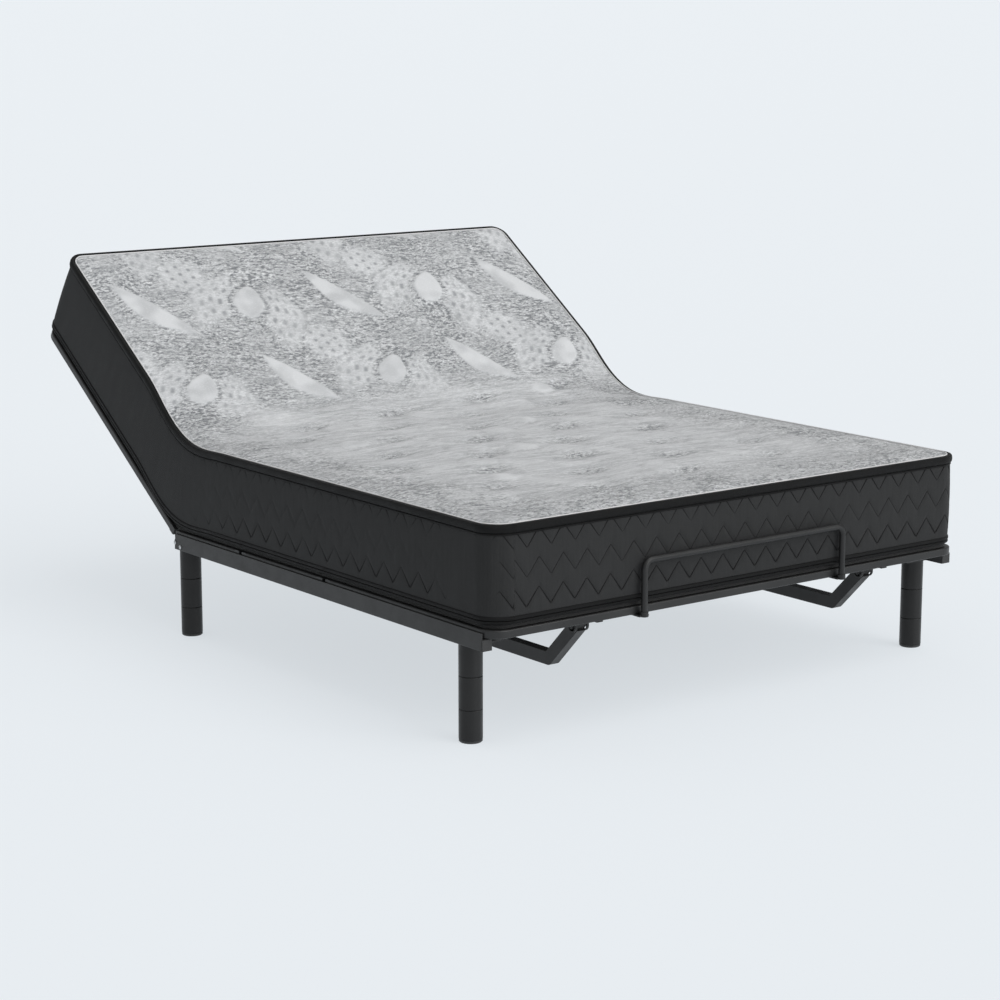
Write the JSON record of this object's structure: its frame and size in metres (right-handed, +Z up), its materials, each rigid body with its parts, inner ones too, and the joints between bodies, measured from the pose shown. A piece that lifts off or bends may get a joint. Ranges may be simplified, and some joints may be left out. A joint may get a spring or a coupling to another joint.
{
  "type": "adjustable bed base",
  "caption": "Adjustable bed base with mattress: steel frame on round legs, motor-lifted head section, motor-lifted thigh and foot sections, and a mattress retainer bar at the foot.",
  "frame": {"origin": "on the floor under the middle of the whole object's box, with the head section raised as stored", "axes": "X across the bed, +Y towards the head, +Z up"},
  "size_m": [1.378, 1.9238, 0.8826],
  "materials": {
    "rail_steel": "satin black powder coat",
    "deck_steel": "satin black powder coat",
    "leg_steel": "satin black powder coat",
    "fitting_steel": "satin black powder coat",
    "zinc": "bright zinc plate",
    "tube_aluminium": "drawn, anodised",
    "black_plastic": "fine moulded texture",
    "white_nylon": "turned nylon",
    "black_rubber": "matt rubber",
    "deck_board": "plywood, seen from below",
    "deck_fabric": "black non-slip fabric",
    "mattress_knit": "light grey jacquard knit",
    "mattress_border": "charcoal quilted border cloth",
    "mattress_piping": "black edge tape"
  },
  "bodies": {
    "base": {"side_rail_left": "rail_steel", "side_rail_right": "rail_steel", "rail_end_caps": "black_plastic", "link_cross_rail": "rail_steel", "seat_cross_rail": "rail_steel", "head_cross_rail": "rail_steel", "leg_sockets": "rail_steel", "leg_upper_sections": "leg_steel", "leg_middle_sections": "leg_steel", "leg_lower_sections": "leg_steel", "leg_glides": "black_plastic", "frame_bolts": "zinc", "deck_bumpers": "black_rubber", "seat_frame": "deck_steel", "seat_board": "deck_board", "seat_pad": "deck_fabric", "lift_brackets": "rail_steel", "motor_brackets": "rail_steel", "link_brackets": "rail_steel", "link_pivot_pins": "zinc", "electronics_trays": "rail_steel", "control_box_base": "black_plastic", "control_box_cover": "black_plastic", "power_supply": "black_plastic", "wiring": "black_rubber", "deck_hinge_pins": "zinc", "mattress_seat": "mattress_knit"},
    "head_section": {"head_frame": "deck_steel", "head_board": "deck_board", "head_pad": "deck_fabric", "head_tracks": "deck_steel", "mattress_head": "mattress_knit"},
    "thigh_section": {"thigh_frame": "deck_steel", "thigh_board": "deck_board", "thigh_pad": "deck_fabric", "thigh_tracks": "deck_steel", "knee_hinge_pins": "zinc", "mattress_thigh": "mattress_knit"},
    "foot_section": {"foot_frame": "deck_steel", "foot_board": "deck_board", "foot_pad": "deck_fabric", "retainer_bar": "fitting_steel", "retainer_brackets": "fitting_steel", "foot_link_brackets": "fitting_steel", "mattress_foot": "mattress_knit"},
    "head_arm": {"head_lift_arm": "fitting_steel"},
    "foot_arm": {"foot_lift_arm": "fitting_steel"},
    "head_roller_left": {"head_roller_left": "white_nylon"},
    "head_roller_right": {"head_roller_right": "white_nylon"},
    "foot_roller_left": {"foot_roller_left": "white_nylon"},
    "foot_roller_right": {"foot_roller_right": "white_nylon"},
    "head_motor": {"head_motor_housing": "black_plastic", "head_motor_tube": "tube_aluminium"},
    "head_rod": {"head_actuator_rod": "zinc"},
    "foot_motor": {"foot_motor_housing": "black_plastic", "foot_motor_tube": "tube_aluminium"},
    "foot_rod": {"foot_actuator_rod": "zinc"},
    "link_left": {"foot_link_left": "fitting_steel"},
    "link_right": {"foot_link_right": "fitting_steel"},
    "button": {"pairing_button": "white_nylon"}
  },
  "joints": [
    {"name": "head_lift", "type": "hinge", "parent": "base", "child": "head_section", "pos_m": [0, 0.32449, 0.249], "axis": [1, 0, 0], "range_deg": [-34.5, 25.5]},
    {"name": "thigh_lift", "type": "hinge", "parent": "base", "child": "thigh_section", "pos_m": [0, 0.02449, 0.249], "axis": [-1, 0, 0], "range_deg": [0, 35]},
    {"name": "knee_fold", "type": "hinge", "parent": "thigh_section", "child": "foot_section", "pos_m": [0, -0.32551, 0.249], "axis": [1, 0, 0], "range_deg": [0, 37.2]},
    {"name": "head_arm_turn", "type": "hinge", "parent": "base", "child": "head_arm", "pos_m": [0, 0.31249, 0.214], "axis": [1, 0, 0], "range_deg": [-31.8, 23.6]},
    {"name": "foot_arm_turn", "type": "hinge", "parent": "base", "child": "foot_arm", "pos_m": [0, 0.03849, 0.214], "axis": [-1, 0, 0], "range_deg": [0, 32.2]},
    {"name": "head_roller_left_spin", "type": "hinge", "parent": "head_arm", "child": "head_roller_left", "pos_m": [-0.3, 0.57281, 0.38631], "axis": [1, 0, 0], "continuous": true},
    {"name": "head_roller_right_spin", "type": "hinge", "parent": "head_arm", "child": "head_roller_right", "pos_m": [0.3, 0.57281, 0.38631], "axis": [1, 0, 0], "continuous": true},
    {"name": "foot_roller_left_spin", "type": "hinge", "parent": "foot_arm", "child": "foot_roller_left", "pos_m": [-0.2, -0.22553, 0.2246], "axis": [1, 0, 0], "continuous": true},
    {"name": "foot_roller_right_spin", "type": "hinge", "parent": "foot_arm", "child": "foot_roller_right", "pos_m": [0.2, -0.22553, 0.2246], "axis": [1, 0, 0], "continuous": true},
    {"name": "head_motor_tilt", "type": "hinge", "parent": "base", "child": "head_motor", "pos_m": [0.06, 0.04549, 0.138], "axis": [1, 0, 0], "range_deg": [-0.5, 0.5]},
    {"name": "head_rod_slide", "type": "slide", "parent": "head_motor", "child": "head_rod", "axis": [0, 0.9994, 0.0354], "range_m": [-0.0375, 0.0278]},
    {"name": "foot_motor_tilt", "type": "hinge", "parent": "base", "child": "foot_motor", "pos_m": [-0.06, 0.26049, 0.138], "axis": [1, 0, 0], "range_deg": [-0.5, 0.5]},
    {"name": "foot_rod_slide", "type": "slide", "parent": "foot_motor", "child": "foot_rod", "axis": [0, -0.9994, 0.0354], "range_m": [0, 0.0388]},
    {"name": "link_left_swing", "type": "hinge", "parent": "base", "child": "link_left", "pos_m": [-0.42, -0.43951, 0.178], "axis": [-1, 0, 0], "range_deg": [0, 24.8]},
    {"name": "link_right_swing", "type": "hinge", "parent": "base", "child": "link_right", "pos_m": [0.42, -0.43951, 0.178], "axis": [-1, 0, 0], "range_deg": [0, 24.8]},
    {"name": "button_press", "type": "slide", "parent": "base", "child": "button", "axis": [0, 0, 1], "range_m": [0, 0.0015], "stiffness_N_per_m": 400}
  ],
  "couplings": [
    {"joint": "knee_fold", "follows": "thigh_lift", "ratio": 1.0539},
    {"joint": "foot_arm_turn", "follows": "thigh_lift", "ratio": 0.911},
    {"joint": "foot_motor_tilt", "follows": "thigh_lift", "ratio": 0.009},
    {"joint": "foot_rod_slide", "follows": "thigh_lift", "m_per_rad": 0.06296},
    {"joint": "link_left_swing", "follows": "thigh_lift", "ratio": 0.6986},
    {"joint": "link_right_swing", "follows": "thigh_lift", "ratio": 0.6986},
    {"joint": "head_arm_turn", "follows": "head_lift", "ratio": 0.9147},
    {"joint": "head_motor_tilt", "follows": "head_lift", "ratio": -0.00784},
    {"joint": "head_rod_slide", "follows": "head_lift", "m_per_rad": 0.06169}
  ]
}
